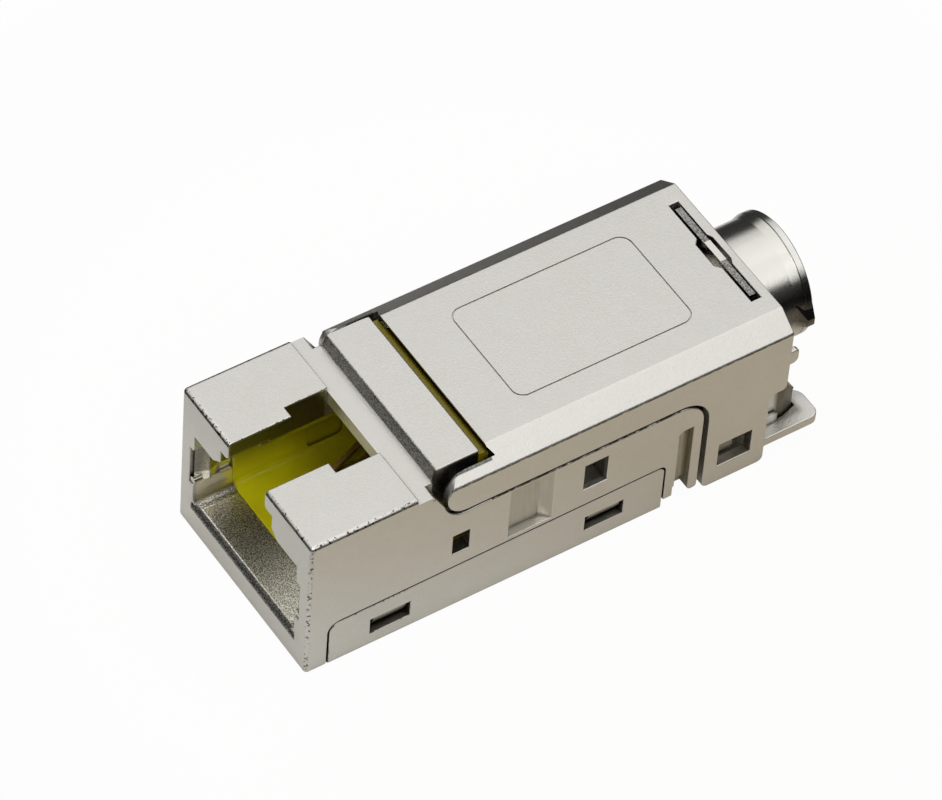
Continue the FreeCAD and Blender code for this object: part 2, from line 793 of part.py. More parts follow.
def cable_collar():
    flange_back = flange_front + flange_thickness
    rim_start = overall_length - collar_rim_length
    flare_start = rim_start - collar_flare_length
    flare_end = rim_start - rim_groove
    mouth_radius = bore_radius + mouth_bevel
    tube = turned([(barrel_front, bore_radius), (barrel_front, barrel_radius), (flange_back, barrel_radius),
                   (flange_back, collar_radius), (flare_start, collar_radius),
                   (flare_end, collar_rim_radius), (rim_start, collar_rim_radius - rim_groove),
                   (rim_start + rim_groove, collar_rim_radius),
                   (overall_length - rim_chamfer, collar_rim_radius),
                   (overall_length, collar_rim_radius - rim_chamfer), (overall_length, mouth_radius),
                   (overall_length - mouth_bevel_length, bore_radius)])
    lean_x, lean_z = shoulder_reach - shoulder_lean[0], shoulder_lean[1]
    wall = [(collar_radius - bury, flare_start), (shoulder_reach, rim_start),
            (shoulder_reach, overall_length), (mouth_radius, overall_length), (mouth_radius, rim_start)]
    top = collar_z + lean_z
    above = front([(shoulder_reach, collar_z), (lean_x, top), (lean_x, top + past),
                   (shoulder_reach + past, top + past), (shoulder_reach + past, collar_z)],
                  flare_start - past, overall_length + past)
    shoulders = both_sides(plan(wall, collar_z - shoulder_drop, top).cut(above))
    plate = box(-flange_half, flange_half, flange_front, flange_back, flange_bottom, flange_top)
    tongue = box(-tongue_half, tongue_half, flange_front, flange_back, flange_top - past, tongue_top)
    bore = along(bore_radius, 0, collar_z, barrel_front - past, overall_length + past)
    ring_seat = along(ring_seat_radius, 0, collar_z, barrel_front - past, ring_end + ring_fit)
    return join([tube, plate, tongue] + shoulders).cut([bore, ring_seat])


def shield_ring():
    outer = ring_seat_radius - ring_fit
    inner = outer - ring_thickness
    sleeve = turned([(barrel_front, inner), (barrel_front, outer), (ring_end, outer), (ring_end, inner),
                     (barrel_front + ring_length * 0.6, inner - ring_bow)])
    slots = []
    for index in range(ring_slots):
        cutter = box(-ring_slot_width / 2, ring_slot_width / 2, barrel_front + ring_slot_front,
                     ring_end + past, collar_z, collar_z + outer + past)
        cutter.rotate(Vector(0, 0, collar_z), Vector(0, 1, 0), index * 360 / ring_slots)
        slots.append(cutter)
    return sleeve.cut(slots)


def save(name, shape):
    placed = shape.copy()
    placed.translate(Vector(0, -overall_length / 2, 0))
    placed.exportStep("parts/" + name + ".step")
    print(name, "valid" if placed.isValid() else "NOT VALID", len(placed.Solids), "solid",
          round(placed.Volume, 2), "mm3")


os.makedirs("parts", exist_ok=True)
save("main_housing", main_housing())
save("bottom_cover", bottom_cover())
save("hinged_lid", hinged_lid())
save("contact_carrier", contact_carrier())
for number, x in enumerate(contact_positions(), 1):
    save("contact_spring_%d" % number, contact_spring(x))
save("ground_spring_right", ground_spring(1))
save("ground_spring_left", ground_spring(-1))
save("circuit_board", circuit_board())
save("terminal_block", terminal_block())
for number, (x, z) in enumerate(terminal_positions(), 1):
    save("piercing_contact_%d" % number, piercing_contact(x, z))
save("wire_manager", wire_manager())
save("shield_cross", shield_cross())
save("cable_collar", cable_collar())
save("shield_ring", shield_ring())
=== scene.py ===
import bmesh
import bpy
import math
from mathutils import Euler, Matrix, Vector


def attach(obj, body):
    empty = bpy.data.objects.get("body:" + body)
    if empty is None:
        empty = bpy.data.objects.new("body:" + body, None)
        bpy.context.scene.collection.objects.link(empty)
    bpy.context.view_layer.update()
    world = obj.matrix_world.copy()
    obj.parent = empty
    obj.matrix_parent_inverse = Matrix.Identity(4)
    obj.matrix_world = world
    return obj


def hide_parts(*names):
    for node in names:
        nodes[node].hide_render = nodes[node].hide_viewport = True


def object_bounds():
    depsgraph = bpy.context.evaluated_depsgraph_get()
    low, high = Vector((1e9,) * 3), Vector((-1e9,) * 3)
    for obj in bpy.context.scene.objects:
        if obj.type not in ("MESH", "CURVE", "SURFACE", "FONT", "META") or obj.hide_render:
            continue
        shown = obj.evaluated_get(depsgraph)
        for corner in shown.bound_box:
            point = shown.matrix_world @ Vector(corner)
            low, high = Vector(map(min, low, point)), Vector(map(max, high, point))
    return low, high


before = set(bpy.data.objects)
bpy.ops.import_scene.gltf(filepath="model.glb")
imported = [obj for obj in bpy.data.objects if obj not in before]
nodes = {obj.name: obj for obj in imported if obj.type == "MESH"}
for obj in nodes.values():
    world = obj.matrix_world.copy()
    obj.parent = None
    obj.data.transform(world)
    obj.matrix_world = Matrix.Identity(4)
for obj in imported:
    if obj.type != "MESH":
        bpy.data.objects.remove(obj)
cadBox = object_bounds()
print("frame loaded")

mm = 0.001


# Camera: the photograph's angle, a long lens with a slight roll
cameraSet = {
    "azimuth": 53.614,
    "elevation": 49.370,
    "roll": 4.696,
    "distance": 415.89 * mm,
    "target": (-1.214 * mm, -2.341 * mm, 6.914 * mm),
    "lens": 258.17,
}


def addCamera(s):
    data = bpy.data.cameras.new("camera")
    data.lens = s["lens"]
    data.sensor_width = 36
    data.clip_start = 0.01
    camera = bpy.data.objects.new("camera", data)
    bpy.context.scene.collection.objects.link(camera)
    turn = Euler((math.radians(90 - s["elevation"]), 0, math.radians(s["azimuth"])), "XYZ").to_matrix()
    turn = turn @ Matrix.Rotation(math.radians(s["roll"]), 3, "Z")
    back = turn @ Vector((0, 0, s["distance"]))
    camera.matrix_world = Matrix.Translation(Vector(s["target"]) + back) @ turn.to_4x4()
    bpy.context.scene.camera = camera


addCamera(cameraSet)
bpy.context.scene.view_settings.view_transform = "Standard"
print("camera placed")


# Small helpers for node trees
def newMaterial(name):
    material = bpy.data.materials.new(name)
    material.use_nodes = True
    tree = material.node_tree
    tree.nodes.clear()
    return material, tree


def addNode(tree, kind, inputs=None, **settings):
    node = tree.nodes.new(kind)
    for key, value in settings.items():
        setattr(node, key, value)
    for key, value in (inputs or {}).items():
        if isinstance(value, bpy.types.NodeSocket):
            tree.links.new(value, node.inputs[key])
        else:
            node.inputs[key].default_value = value
    return node


def addMath(tree, operation, first, second=0.0, clamp=False):
    node = addNode(tree, "ShaderNodeMath", {0: first, 1: second}, operation=operation, use_clamp=clamp)
    return node.outputs[0]


def addRange(tree, value, low, high, newLow, newHigh, smooth=False):
    node = addNode(tree, "ShaderNodeMapRange", {"Value": value, "From Min": low, "From Max": high,
                                                "To Min": newLow, "To Max": newHigh})
    if smooth:
        node.interpolation_type = "SMOOTHSTEP"
    return node.outputs[0]


def addMix(tree, factor, first, second):
    node = tree.nodes.new("ShaderNodeMix")
    node.data_type = "RGBA"
    for socket, value in ((node.inputs[0], factor), (node.inputs[6], first), (node.inputs[7], second)):
        if isinstance(value, bpy.types.NodeSocket):
            tree.links.new(value, socket)
        else:
            socket.default_value = value if isinstance(value, float) else (*value[:3], 1)
    return node.outputs[2]


def addNoise(tree, place, rate, detail, roughness=0.5):
    return addNode(tree, "ShaderNodeTexNoise", {"Vector": place, "Scale": rate, "Detail": detail,
                                                "Roughness": roughness}).outputs[0]


def addBump(tree, strength, distance, height):
    return addNode(tree, "ShaderNodeBump", {"Strength": strength, "Distance": distance,
                                            "Height": height}).outputs[0]


# Studio: pale paper under an open sky, with a dark horizon that gives the metal its contrast
studio = {
    "paperRadius": 60 * mm,
    "paperFront": (0.74, 0.73, 0.70),
    "paperShadedSide": (0.56, 0.50, 0.40),
    "paperShadedFar": (0.03, 0.03, 0.03),
    "fadeStart": 28 * mm,
    "fadeEnd": 42 * mm,
    "sideReach": 16 * mm,
    "sideTurn": 0.35,
    "cameraShare": 0.96,
    "glossShare": 0.03,
    "skyColour": (1.0, 0.99, 0.97),
    "skyTop": 1.0,
    "skyHorizon": 0.02,
    "horizonEnds": 0.34,
    "skyStarts": 0.62,
    "skyGain": 1.05,
    "sideGain": 0.30,
    "skyShare": 0.02,
}


def rayShare(tree, cameraPart, glossPart):
    # the part of plain white that a camera ray and a gloss ray see
    path = addNode(tree, "ShaderNodeLightPath").outputs
    seen = addMath(tree, "MULTIPLY", path["Is Camera Ray"], cameraPart)
    bounced = addMath(tree, "ADD", path["Is Glossy Ray"], path["Is Transmission Ray"], clamp=True)
    return addMath(tree, "ADD", seen, addMath(tree, "MULTIPLY", bounced, glossPart), clamp=True)


def addPaper(s):
    bm = bmesh.new()
    bmesh.ops.create_circle(bm, cap_ends=True, segments=128, radius=s["paperRadius"])
    mesh = bpy.data.meshes.new("paperFloor")
    bm.to_mesh(mesh)
    bm.free()
    paper = bpy.data.objects.new("paperFloor", mesh)
    bpy.context.scene.collection.objects.link(paper)
    material, tree = newMaterial("paper")
    place = addNode(tree, "ShaderNodeTexCoord").outputs["Object"]
    split = addNode(tree, "ShaderNodeSeparateXYZ", {0: place}).outputs
    reach = addNode(tree, "ShaderNodeVectorMath", {0: place}, operation="LENGTH").outputs["Value"]
    # painted shade on the paper: darker and warmer towards the side the metal faces, and dark beyond
    # fadeStart, for what the metal reflects; camera rays see it nearly white
    along = addMath(tree, "ADD", split[0], addMath(tree, "MULTIPLY", split[1], s["sideTurn"]))
    sideways = addRange(tree, along, 0.0, s["sideReach"], 0.0, 1.0, smooth=True)
    tone = addMix(tree, sideways, s["paperFront"], s["paperShadedSide"])
    faded = addRange(tree, reach, s["fadeStart"], s["fadeEnd"], 0.0, 1.0, smooth=True)
    tone = addMix(tree, faded, tone, s["paperShadedFar"])
    white = addNode(tree, "ShaderNodeBsdfDiffuse", {"Color": tone})
    glow = addNode(tree, "ShaderNodeEmission", {"Color": (1, 1, 1, 1), "Strength": 1.0})
    whiter = addRange(tree, reach, s["fadeStart"], s["paperRadius"], s["cameraShare"], 1.0)
    share = rayShare(tree, whiter, s["glossShare"])
    mixed = addNode(tree, "ShaderNodeMixShader", {0: share, 1: white.outputs[0], 2: glow.outputs[0]})
    addNode(tree, "ShaderNodeOutputMaterial", {"Surface": mixed.outputs[0]})
    mesh.materials.append(material)


def addSky(s):
    world = bpy.data.worlds.new("openSky")
    bpy.context.scene.world = world
    world.use_nodes = True
    tree = world.node_tree
    tree.nodes.clear()
    place = addNode(tree, "ShaderNodeTexCoord").outputs["Generated"]
    split = addNode(tree, "ShaderNodeSeparateXYZ", {0: place}).outputs
    level = addRange(tree, split[2], s["horizonEnds"], s["skyStarts"], s["skyHorizon"], s["skyTop"],
                     smooth=True)
    gain = addMath(tree, "MULTIPLY_ADD", split[0], s["sideGain"])
    gain.node.inputs[2].default_value = s["skyGain"]
    strength = addMath(tree, "MULTIPLY", level, gain)
    sky = addNode(tree, "ShaderNodeBackground", {"Color": (*s["skyColour"], 1), "Strength": strength})
    plain = addNode(tree, "ShaderNodeBackground", {"Color": (1, 1, 1, 1), "Strength": 1.0})
    share = rayShare(tree, 1.0, s["skyShare"])
    mixed = addNode(tree, "ShaderNodeMixShader", {0: share, 1: sky.outputs[0], 2: plain.outputs[0]})
    addNode(tree, "ShaderNodeOutputWorld", {"Surface": mixed.outputs[0]})


lamps = {
    "overheadBox": {"place": (-0.12, 0.06, 0.50), "size": 0.55, "power": 0.15},
    "frontBox": {"place": (0.18, -0.15, 0.27), "size": 0.16, "power": 0.22},
}


def addSoftBox(name, s):
    data = bpy.data.lights.new(name, "AREA")
    data.shape = "SQUARE"
    data.size = s["size"]
    data.energy = s["power"]
    lamp = bpy.data.objects.new(name, data)
    bpy.context.scene.collection.objects.link(lamp)
    place = Vector(s["place"])
    lamp.matrix_world = Matrix.Translation(place) @ (-place).to_track_quat("-Z", "Y").to_matrix().to_4x4()


addPaper(studio)
addSky(studio)
for name, values in lamps.items():
    addSoftBox(name, values)
print("studio set")


# Shared effects
def newGroup(name, inputs, outputs):
    tree = bpy.data.node_groups.new(name, "ShaderNodeTree")
    for label, kind, value in inputs:
        socket = tree.interface.new_socket(name=label, in_out="INPUT", socket_type=kind)
        socket.default_value = value
    for label, kind in outputs:
        tree.interface.new_socket(name=label, in_out="OUTPUT", socket_type=kind)
    source = tree.nodes.new("NodeGroupInput")
    sink = tree.nodes.new("NodeGroupOutput")
    return tree, source.outputs, sink.inputs


def addGroup(tree, group, values):
    node = tree.nodes.new("ShaderNodeGroup")
    node.node_tree = group
    for key, value in values.items():
        if isinstance(value, bpy.types.NodeSocket):
            tree.links.new(value, node.inputs[key])
        else:
            node.inputs[key].default_value = value
    return node.outputs


castGrain = {
    "inputs": [("Grain Size", "NodeSocketFloat", 0.08), ("Pit Size", "NodeSocketFloat", 0.17),
               ("Depth", "NodeSocketFloat", 0.3)],
    "outputs": [("Normal", "NodeSocketVector"), ("Cloud", "NodeSocketFloat"), ("Speckle", "NodeSocketFloat")],
    "cloudRate": 650.0,
    "pitShare": 0.8,
    "bumpHeight": 0.06 * mm,
}


def castGrainGroup(s):
    # the fine grain of a tumbled and plated die casting, with small pits; sizes are in millimetres
    tree, given, out = newGroup("castGrain", s["inputs"], s["outputs"])
    place = addNode(tree, "ShaderNodeTexCoord").outputs["Object"]
    fineRate = addMath(tree, "DIVIDE", 1.0 / mm, given["Grain Size"])
    pitRate = addMath(tree, "DIVIDE", 1.0 / mm, given["Pit Size"])
    fine = addNoise(tree, place, fineRate, 1.5, 0.6)
    pits = addNode(tree, "ShaderNodeTexVoronoi", {"Vector": place, "Scale": pitRate}, feature="SMOOTH_F1")
    cloud = addNoise(tree, place, s["cloudRate"], 3.0, 0.6)
    height = addMath(tree, "ADD", fine, addMath(tree, "MULTIPLY", pits.outputs["Distance"], s["pitShare"]))
    bump = addBump(tree, given["Depth"], s["bumpHeight"], height)
    tree.links.new(bump, out["Normal"])
    tree.links.new(addRange(tree, cloud, 0.3, 0.7, 0.0, 1.0), out["Cloud"])
    tree.links.new(addRange(tree, fine, 0.32, 0.68, 0.0, 1.0), out["Speckle"])
    return tree


edgeWearAndHighlight = {
    "inputs": [("Width", "NodeSocketFloat", 0.1), ("Break", "NodeSocketFloat", 0.5)],
    "outputs": [("Mask", "NodeSocketFloat")],
    "flatTurn": 0.99,
    "fullTurn": 0.86,
    "breakRate": 2600.0,
}


def edgeWearAndHighlightGroup(s):
    # mask that is one along outer edges and zero on the flats, for worn edges with a painted highlight
    tree, given, out = newGroup("edgeWearAndHighlight", s["inputs"], s["outputs"])
    flat = addNode(tree, "ShaderNodeNewGeometry").outputs["Normal"]
    radius = addMath(tree, "MULTIPLY", given["Width"], mm)
    rounded = addNode(tree, "ShaderNodeBevel", {"Radius": radius}, samples=6).outputs[0]
    same = addNode(tree, "ShaderNodeVectorMath", {0: flat, 1: rounded}, operation="DOT_PRODUCT")
    turned = addRange(tree, same.outputs["Value"], s["flatTurn"], s["fullTurn"], 0.0, 1.0)
    place = addNode(tree, "ShaderNodeTexCoord").outputs["Object"]
    cut = addMath(tree, "MULTIPLY", addNoise(tree, place, s["breakRate"], 3.0), given["Break"])
    tree.links.new(addMath(tree, "SUBTRACT", turned, cut, clamp=True), out["Mask"])
    return tree


crevice = {
    "inputs": [("Reach", "NodeSocketFloat", 0.45), ("Room", "NodeSocketFloat", 3.0)],
    "outputs": [("Near", "NodeSocketFloat"), ("Deep", "NodeSocketFloat")],
    "masks": (("Near", "Reach", 0.80, 0.35), ("Deep", "Room", 0.75, 0.25)),
}


def creviceGroup(s):
    # masks that are one in corners: Near for seams a few tenths of a millimetre deep, Deep for whole
    # recesses; the finishes darken seams and recesses by them as painted shade
    tree, given, out = newGroup("crevice", s["inputs"], s["outputs"])
    for label, source, low, high in s["masks"]:
        reach = addMath(tree, "MULTIPLY", given[source], mm)
        around = addNode(tree, "ShaderNodeAmbientOcclusion", {"Distance": reach}, samples=6)
        tree.links.new(addRange(tree, around.outputs["AO"], low, high, 0.0, 1.0), out[label])
    return tree


grainGroup = castGrainGroup(castGrain)
wearAndHighlightGroup = edgeWearAndHighlightGroup(edgeWearAndHighlight)
darkGroup = creviceGroup(crevice)
print("shared effects made")


def placeParts(tree):
    place = addNode(tree, "ShaderNodeTexCoord").outputs["Object"]
    parts = addNode(tree, "ShaderNodeSeparateXYZ", {0: place}).outputs
    return {"aside": addMath(tree, "ABSOLUTE", parts[0]), "y": parts[1], "z": parts[2]}


def addRegion(tree, parts, region):
    # mask of a box: one inside, falling to zero over the fade; aside is the distance from the middle plane
    mask = 1.0
    fade = region.get("fade", 0.04 * mm)
    for axis in ("aside", "y", "z"):
        if axis in region:
            low, high = region[axis]
            mask = addMath(tree, "MULTIPLY", addRange(tree, parts[axis], low - fade, low, 0.0, 1.0), mask)
            mask = addMath(tree, "MULTIPLY", addRange(tree, parts[axis], high, high + fade, 1.0, 0.0), mask)
    return mask


def addStreaks(tree, stretch):
    place = addNode(tree, "ShaderNodeTexCoord").outputs["Object"]
    drawn = addNode(tree, "ShaderNodeMapping", {"Vector": place, "Scale": stretch})
    return addNoise(tree, drawn.outputs[0], 1.0, 2.0)


def addTones(tree, parts, regions, tone, grain):
    # each region takes its own colour of painted light or shade; its grain is the share by which bright
    # specks or streaks stay
    for region in regions:
        mask = addMath(tree, "MULTIPLY", addRegion(tree, parts, region), region["share"])
        if region.get("grain"):
            spots = addStreaks(tree, region["streaks"]) if "streaks" in region else grain
            kept = addRange(tree, spots, 0.3, 0.7, 1.0, 1.0 - region["grain"])
            mask = addMath(tree, "MULTIPLY", mask, kept)
        tone = addMix(tree, mask, tone, region["colour"])
    return tone


# Metal finishes
edgeReflectionSpecks = {
    "flatTurn": 0.985,
    "fullTurn": 0.94,
    "sideFrom": 6.6 * mm,
    "topFrom": 11.4 * mm,
    "outerFade": 0.2 * mm,
    "endFade": 0.4 * mm,
    "rate": 4200.0,
    "from": 0.55,
    "spread": 0.05,
}
lineBreaks = {"rate": 1500.0, "from": 0.36, "full": 0.52, "least": 0.15, "most": 0.95}


def castSpecks(tree, parts, blockEnd, s):
    # painted dark specks on the rounded outer edges of the block round the mouth: a painted reflection of the
    # dark horizon
    turn = addNode(tree, "ShaderNodeNewGeometry").outputs["Normal"]
    size = addNode(tree, "ShaderNodeVectorMath", {0: turn}, operation="ABSOLUTE").outputs[0]
    split = addNode(tree, "ShaderNodeSeparateXYZ", {0: size}).outputs
    flatness = addMath(tree, "MAXIMUM", addMath(tree, "MAXIMUM", split[0], split[1]), split[2])
    curved = addRange(tree, flatness, s["flatTurn"], s["fullTurn"], 0.0, 1.0)
    side = addRange(tree, parts["aside"], s["sideFrom"], s["sideFrom"] + s["outerFade"], 0.0, 1.0)
    top = addRange(tree, parts["z"], s["topFrom"], s["topFrom"] + s["outerFade"], 0.0, 1.0)
    before = addRange(tree, parts["y"], blockEnd, blockEnd + s["endFade"], 1.0, 0.0)
    block = addMath(tree, "MULTIPLY", addMath(tree, "MAXIMUM", side, top), before)
    place = addNode(tree, "ShaderNodeTexCoord").outputs["Object"]
    spots = addNoise(tree, place, s["rate"], 2.5, 0.75)
    sparse = addRange(tree, spots, s["from"], s["from"] + s["spread"], 0.0, 1.0)
    return addMath(tree, "MULTIPLY", addMath(tree, "MULTIPLY", curved, block), sparse)


def brokenLines(tree, parts, lines, s):
    # painted dark hairlines: painted shade in the seams and a painted reflection of the dark horizon under
    # the outer edges
    place = addNode(tree, "ShaderNodeTexCoord").outputs["Object"]
    spots = addNoise(tree, place, s["rate"], 3.0, 0.7)
    mask = 0.0
    for line in lines:
        mask = addMath(tree, "MAXIMUM", addRegion(tree, parts, line), mask)
    return addMath(tree, "MULTIPLY", mask, addRange(tree, spots, s["from"], s["full"], s["least"], s["most"]))


def darkPlateTop(tree, grain, s):
    # a darker top of the plate above a set height, clear of its tongue, broken by the grain
    place = addNode(tree, "ShaderNodeTexCoord").outputs["Object"]
    split = addNode(tree, "ShaderNodeSeparateXYZ", {0: place}).outputs
    top = addRange(tree, split[2], s["from"], s["from"] + 0.02 * mm, 0.0, 1.0)
    aside = addMath(tree, "ABSOLUTE", split[0])
    off = addRange(tree, aside, s["tongueHalf"], s["tongueHalf"] + 0.05 * mm, 0.0, 1.0)
    rag = addRange(tree, grain, 0.2, 0.8, 1.0, 0.55)
    return addMath(tree, "MULTIPLY", addMath(tree, "MULTIPLY", top, off), rag)


def nickelCasting(name, s):
    material, tree = newMaterial(name)
    paintedShade = addGroup(tree, darkGroup, {"Reach": s["seamReach"], "Room": s["room"]})
    depth = addMath(tree, "ADD", s["depth"], addMath(tree, "MULTIPLY", paintedShade["Deep"], s["deepGrain"]))
    grain = addGroup(tree, grainGroup, {"Grain Size": s["grain"], "Pit Size": s["pit"], "Depth": depth})
    wearAndHighlight = addGroup(tree, wearAndHighlightGroup, {"Width": s["edge"], "Break": s["wearAndHighlightBreak"]})
    tone = addMix(tree, grain["Cloud"], s["colour"], s["colourLow"])
    tone = addMix(tree, addMath(tree, "MULTIPLY", grain["Speckle"], s["speckle"]), tone, s["speckleColour"])
    # painted shade in whole recesses
    tone = addMix(tree, addMath(tree, "MULTIPLY", paintedShade["Deep"], s["recessShade"]), tone, s["recessShadeColour"])
    # worn edges with a painted highlight: a near-white tone along the outer edges
    tone = addMix(tree, addMath(tree, "MULTIPLY", wearAndHighlight["Mask"], s["wearAndHighlightShare"]), tone, s["edgeWearAndHighlightColour"])
    # painted shade in seams
    tone = addMix(tree, addMath(tree, "MULTIPLY", paintedShade["Near"], s["paintedShade"]), tone, s["paintedShadeColour"])
    parts = placeParts(tree)
    tone = addTones(tree, parts, s["regions"], tone, grain["Speckle"])
    if "edgeLines" in s:
        # painted dark hairlines along seams and outer edges
        tone = addMix(tree, brokenLines(tree, parts, s["edgeLines"], lineBreaks), tone, s["paintedShadeColour"])
        # painted dark specks on the block's rounded edges
        tone = addMix(tree, castSpecks(tree, parts, s["blockEnd"], edgeReflectionSpecks), tone, s["paintedShadeColour"])
    if "darkTop" in s:
        tone = addMix(tree, darkPlateTop(tree, grain["Speckle"], s["darkTop"]), tone, s["darkTop"]["colour"])
    rough = addRange(tree, grain["Speckle"], 0.0, 1.0, s["rough"] - 0.03, s["rough"] + 0.05)
    shader = addNode(tree, "ShaderNodeBsdfPrincipled", {"Base Color": tone, "Roughness": rough,
                                                        "Normal": grain["Normal"]})
    shader.inputs["Metallic"].default_value = 1.0
    addNode(tree, "ShaderNodeOutputMaterial", {"Surface": shader.outputs[0]})
    return material


front = cadBox[0][1]


def box(aside=None, y=None, z=None, **tone):
    # in millimetres: aside from the middle plane, y from the mouth's edge, z from the ground
    sides = {"aside": (aside, 0.0), "y": (y, front), "z": (z, 0.0)}
    region = {axis: [start + value * mm for value in ends] for axis, (ends, start) in sides.items() if ends}
    return {**region, **tone}


acrossLines = (900.0, 500.0, 6500.0)
downLines = (4000.0, 5200.0, 450.0)
# painted shade inside the windows of the castings and of the lid's ear
windowShade = {"fade": 0.02 * mm, "colour": (0.075, 0.062, 0.035), "share": 0.88, "grain": 0.6,
               "streaks": acrossLines}
innerShade = {**windowShade, "fade": 0.04 * mm, "share": 0.7}
earWindowShade = {**windowShade, "colour": (0.16, 0.135, 0.09), "share": 0.7}
# painted glints and painted shade on the floor of the mouth, painted shade on its lip, painted warm light on
# its inner walls
mouthGlints = {"fade": 0.2 * mm, "colour": (1.0, 0.97, 0.88), "share": 1.0}
mouthShade = {"fade": 0.5 * mm, "colour": (0.05, 0.048, 0.036), "share": 0.7, "grain": 1.0}
mouthLipShade = {"colour": (0.035, 0.034, 0.030), "share": 0.95, "grain": 0.55}
mouthWallLight = {"colour": (0.95, 0.87, 0.68), "share": 0.8}
# painted reflection of the olive carrier on the sides of the slot
oliveReflection = {"fade": 0.12 * mm, "colour": (0.22, 0.20, 0.03), "share": 0.9}
# painted shade on the front of the hinge block and in the gap beside it
hingeFrontShade = {"colour": (0.085, 0.083, 0.076), "share": 0.85, "grain": 0.65}
hingeGapShade = {"colour": (0.045, 0.042, 0.036), "share": 0.9, "grain": 0.25}
# painted shade beside the saddle, in the groove and in the side pocket
saddleShade = {"fade": 0.4 * mm, "colour": (0.115, 0.098, 0.065), "share": 1.0, "grain": 0.1}
grooveShade = {"colour": (0.33, 0.30, 0.22), "share": 0.85, "grain": 0.5, "streaks": downLines}
pocketShade = {"colour": (0.36, 0.33, 0.26), "share": 0.5, "grain": 0.3, "streaks": downLines}
# the castings' painted light, shade and reflection, each in a box
castRegions = [
    box((0, 6.02), (-1, 0.27), (1.98, 2.5), **mouthLipShade),
    box((0, 6.4), (9.16, 9.56), (11.64, 12.6), **hingeFrontShade),
    box((0, 6.1), (0.35, 8), (2.3, 2.6), **mouthGlints),
    box((0, 6.1), (0.35, 8), (2.3, 2.9), **mouthShade),
    box((0, 3.3), (0.2, 7.4), (8.6, 11.75), **oliveReflection),
    box((5.7, 6.3), (35.45, 37), (2, 4.8), **saddleShade),
    box((6.12, 6.8), (9.3, 13.2), (9, 12.32), **hingeGapShade),
    box((5.6, 6.2), (0.3, 3), (2.7, 6), **mouthWallLight),
    box((4, 7.35), (4.6, 7.52), (1.1, 2.47), **windowShade),  # front window of the bottom cover
    box((4, 7.35), (20.23, 23.12), (1.35, 2.67), **windowShade),  # rear window of the bottom cover
    box((3, 7.3), (10.33, 11.59), (5.1, 6.9), **windowShade),  # front window of the housing
    box((3, 7), (19.8, 21.7), (5.4, 7.9), **innerShade),  # rear window of the housing
    box((5, 7.33), (30.12, 32.68), (1.57, 3.63), **earWindowShade),  # window of the lid's ear
    box((6.5, 7.3), (26.85, 28), (0, 6.9), **grooveShade),  # groove before the leg
    box((6.6, 7.3), (14.4, 17.9), (4.2, 8.75), **pocketShade),  # pocket in the side
]
# painted dark hairlines: painted shade in the seams, painted reflection of the dark horizon under the outer
# edges
castLines = [
    box((7.3, 8), (8.6, 36), (11.28, 11.33), fade=0.02 * mm),  # foot of the slanted side
    box((7.2, 8), (13, 26.8), (8.79, 8.86), fade=0.02 * mm),  # foot of the lid
    box((7.2, 8), (12, 26.8), (8.99, 9.04), fade=0.02 * mm),  # seam above it
    box((7.38, 8), (0, 7.6), (11.74, 11.87), fade=0.02 * mm),  # side of the block's top
    box((2.2, 7.4), (-1, 0.02), (11.74, 11.87), fade=0.02 * mm),  # front of the block's top
]
castNickel = {
    "grain": 0.08, "pit": 0.12, "depth": 0.15, "deepGrain": 0.55, "edge": 0.07, "wearAndHighlightBreak": 0.35,
    "wearAndHighlightShare": 0.5, "seamReach": 0.40, "room": 2.5, "paintedShade": 0.9, "rough": 0.33, "speckle": 0.30,
    "recessShade": 0.45,
    "colour": (0.715, 0.705, 0.675), "colourLow": (0.695, 0.683, 0.650),
    "speckleColour": (0.60, 0.59, 0.56), "recessShadeColour": (0.46, 0.43, 0.36),
    "edgeWearAndHighlightColour": (0.90, 0.89, 0.86), "paintedShadeColour": (0.045, 0.038, 0.028),
    "regions": castRegions, "edgeLines": castLines, "blockEnd": front + 7.3 * mm,
}
# painted shade on the lower side of the collar and of its rim
collarLowShade = {"fade": 0.9 * mm, "colour": (0.07, 0.062, 0.055), "share": 0.93, "grain": 0.1}
rimLowShade = {"fade": 0.9 * mm, "colour": (0.07, 0.065, 0.06), "share": 0.85, "grain": 0.2}
turnedNickel = {
    "grain": 0.10, "pit": 0.30, "depth": 0.06, "deepGrain": 0.10, "edge": 0.06, "wearAndHighlightBreak": 0.35,
    "wearAndHighlightShare": 0.5, "seamReach": 0.30, "room": 2.0, "paintedShade": 0.85, "rough": 0.17, "speckle": 0.10,
    "recessShade": 0.30,
    "colour": (0.72, 0.715, 0.68), "colourLow": (0.70, 0.695, 0.655),
    "speckleColour": (0.64, 0.63, 0.60), "recessShadeColour": (0.50, 0.48, 0.42),
    "edgeWearAndHighlightColour": (0.92, 0.91, 0.88), "paintedShadeColour": (0.05, 0.045, 0.035),
    "regions": [box((3.1, 6), (34.3, 40), (7.6, 9.4), **collarLowShade),
                box((2.4, 6), (38.5, 40), (7.2, 10.1), **rimLowShade)],
    "darkTop": {"from": 12.2 * mm, "tongueHalf": 0.92 * mm, "colour": (0.12, 0.12, 0.115)},
}


# Plastics
mouldSkin = {"cloudRate": 500.0, "skinRate": 9000.0, "bump": 0.12, "bumpHeight": 0.01 * mm,
             "glowRadius": (1.0, 0.85, 0.1), "glowReach": 1.2 * mm}


